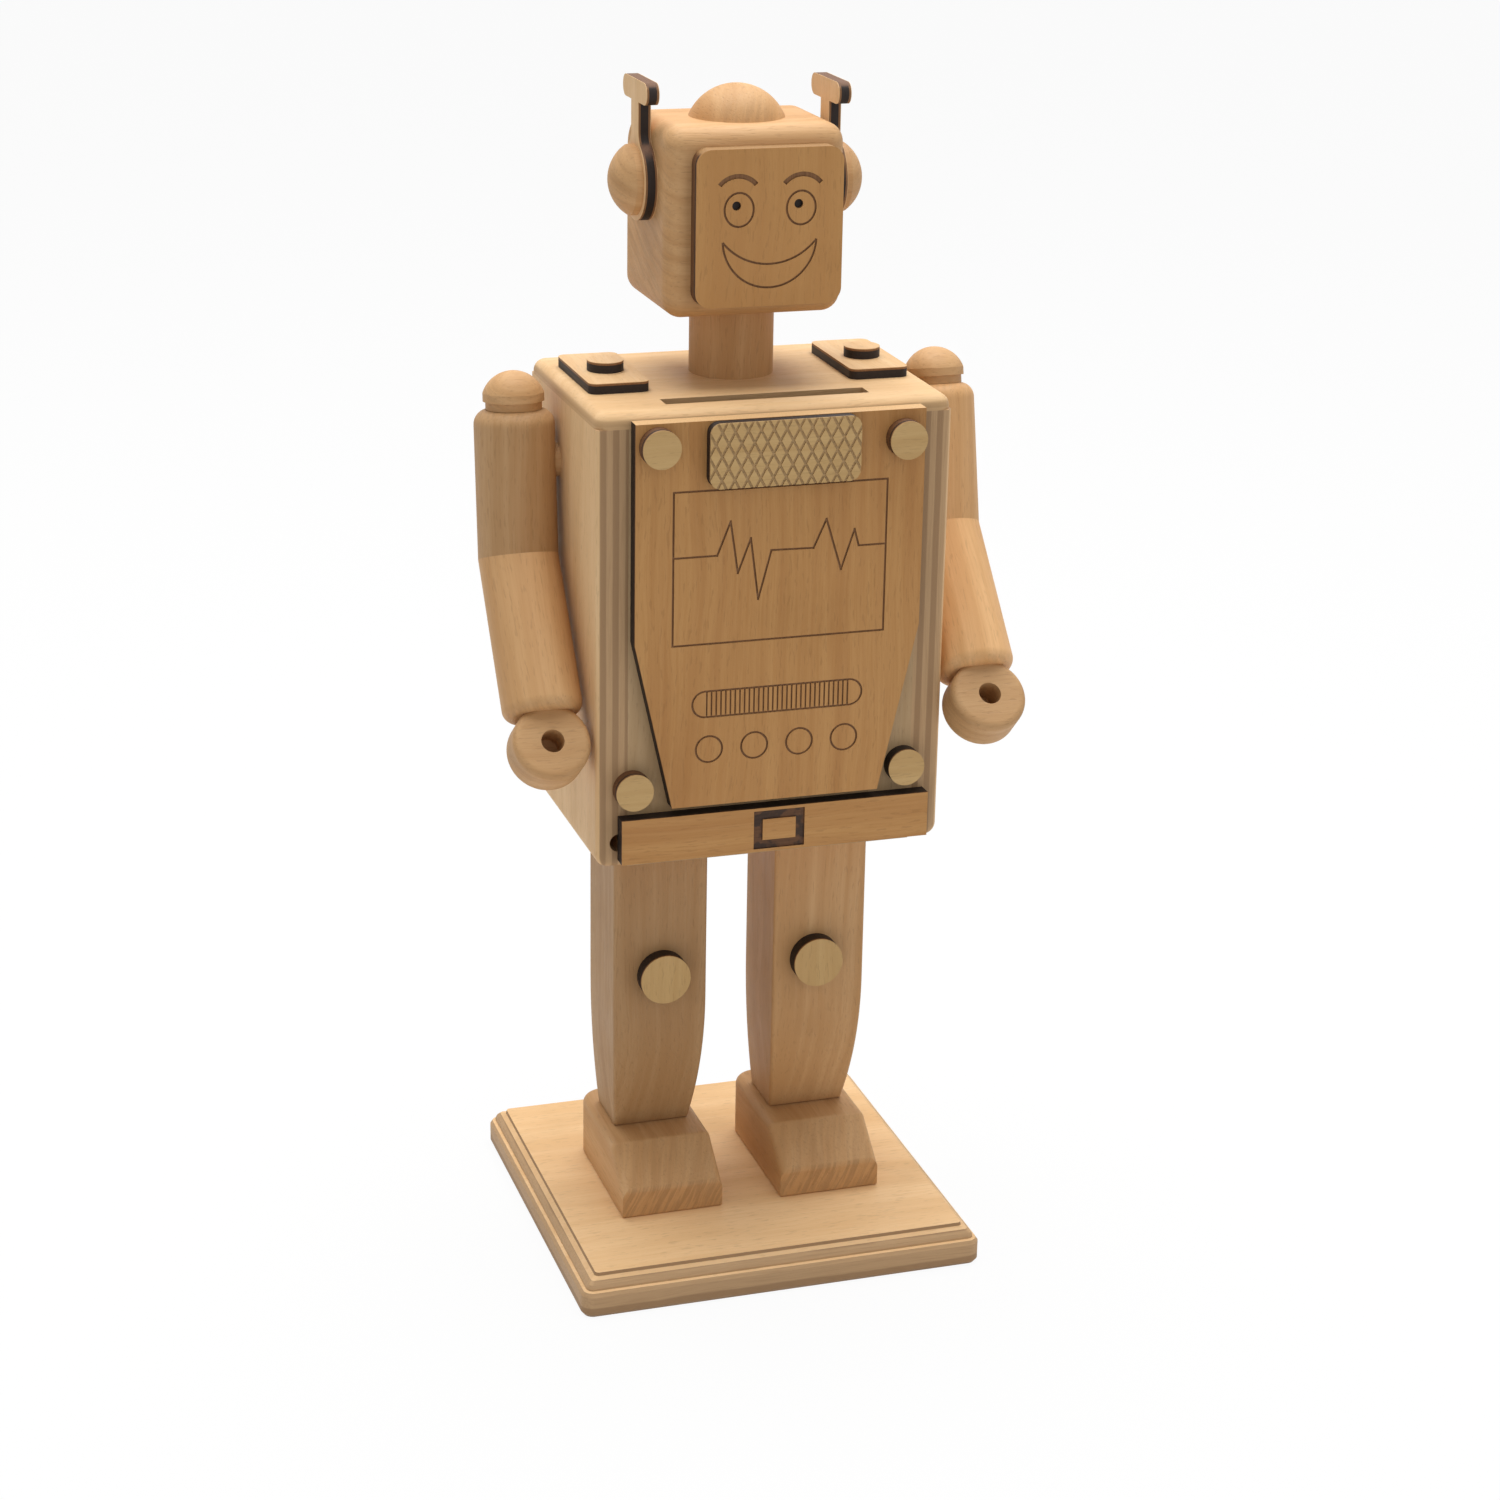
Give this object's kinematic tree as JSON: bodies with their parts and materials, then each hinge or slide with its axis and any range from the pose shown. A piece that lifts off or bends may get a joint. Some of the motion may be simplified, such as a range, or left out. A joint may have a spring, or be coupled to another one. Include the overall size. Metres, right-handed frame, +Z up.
{
  "type": "wooden robot money box",
  "caption": "Standing wooden robot money box: a plywood chest with a slot in its top, turning head, swinging bent arms, legs on a moulded base, and a bung in the back.",
  "frame": {"origin": "middle of the underside of the base", "axes": "+Z up, -Y is the front with the face, +X is the right side as seen from the front"},
  "size_m": [0.1244, 0.1, 0.2863],
  "materials": {
    "solid_wood": "sanded",
    "ply_board": "sanded",
    "laser_plate": "sanded, charred cut edges",
    "rubber": "matte",
    "steel": "plain"
  },
  "bodies": {
    "body": {"back_panel": "ply_board", "base_plate": "ply_board", "base_screws": "steel", "belt": "laser_plate", "floor_panel": "ply_board", "front_plate": "laser_plate", "inner_front_board": "ply_board", "left_foot": "solid_wood", "left_knee_disc": "laser_plate", "left_leg": "solid_wood", "left_leg_dowel": "solid_wood", "left_shoulder_disc": "laser_plate", "left_shoulder_pivot": "solid_wood", "left_shoulder_plate": "laser_plate", "left_side_panel": "ply_board", "lower_left_disc": "laser_plate", "lower_right_disc": "laser_plate", "neck_post": "solid_wood", "right_foot": "solid_wood", "right_knee_disc": "laser_plate", "right_leg": "solid_wood", "right_leg_dowel": "solid_wood", "right_shoulder_disc": "laser_plate", "right_shoulder_pivot": "solid_wood", "right_shoulder_plate": "laser_plate", "right_side_panel": "ply_board", "speaker_grille": "laser_plate", "top_panel": "ply_board", "upper_left_disc": "laser_plate", "upper_right_disc": "laser_plate"},
    "head": {"face_plate": "laser_plate", "head_block": "solid_wood", "head_dome": "solid_wood", "left_aerial": "laser_plate", "left_ear": "solid_wood", "right_aerial": "laser_plate", "right_ear": "solid_wood"},
    "left_arm": {"left_upper_arm": "solid_wood", "left_shoulder_cap": "solid_wood", "left_elbow_dowel": "solid_wood", "left_forearm": "solid_wood", "left_wrist_dowel": "solid_wood", "left_hand": "solid_wood"},
    "right_arm": {"right_upper_arm": "solid_wood", "right_shoulder_cap": "solid_wood", "right_elbow_dowel": "solid_wood", "right_forearm": "solid_wood", "right_wrist_dowel": "solid_wood", "right_hand": "solid_wood"},
    "bung": {"money_bung": "rubber"}
  },
  "joints": [
    {"name": "head_turn", "type": "hinge", "parent": "body", "child": "head", "pos_m": [0, 0.00625, 0.2336], "axis": [0, 0, 1], "continuous": true},
    {"name": "left_shoulder", "type": "hinge", "parent": "body", "child": "left_arm", "pos_m": [-0.0426, 0.0057, 0.198], "axis": [-1, 0, 0], "continuous": true},
    {"name": "right_shoulder", "type": "hinge", "parent": "body", "child": "right_arm", "pos_m": [0.0426, 0.0057, 0.198], "axis": [-1, 0, 0], "continuous": true},
    {"name": "bung_pull", "type": "slide", "parent": "body", "child": "bung", "axis": [0, 1, 0], "range_m": [0, 0.012]}
  ]
}
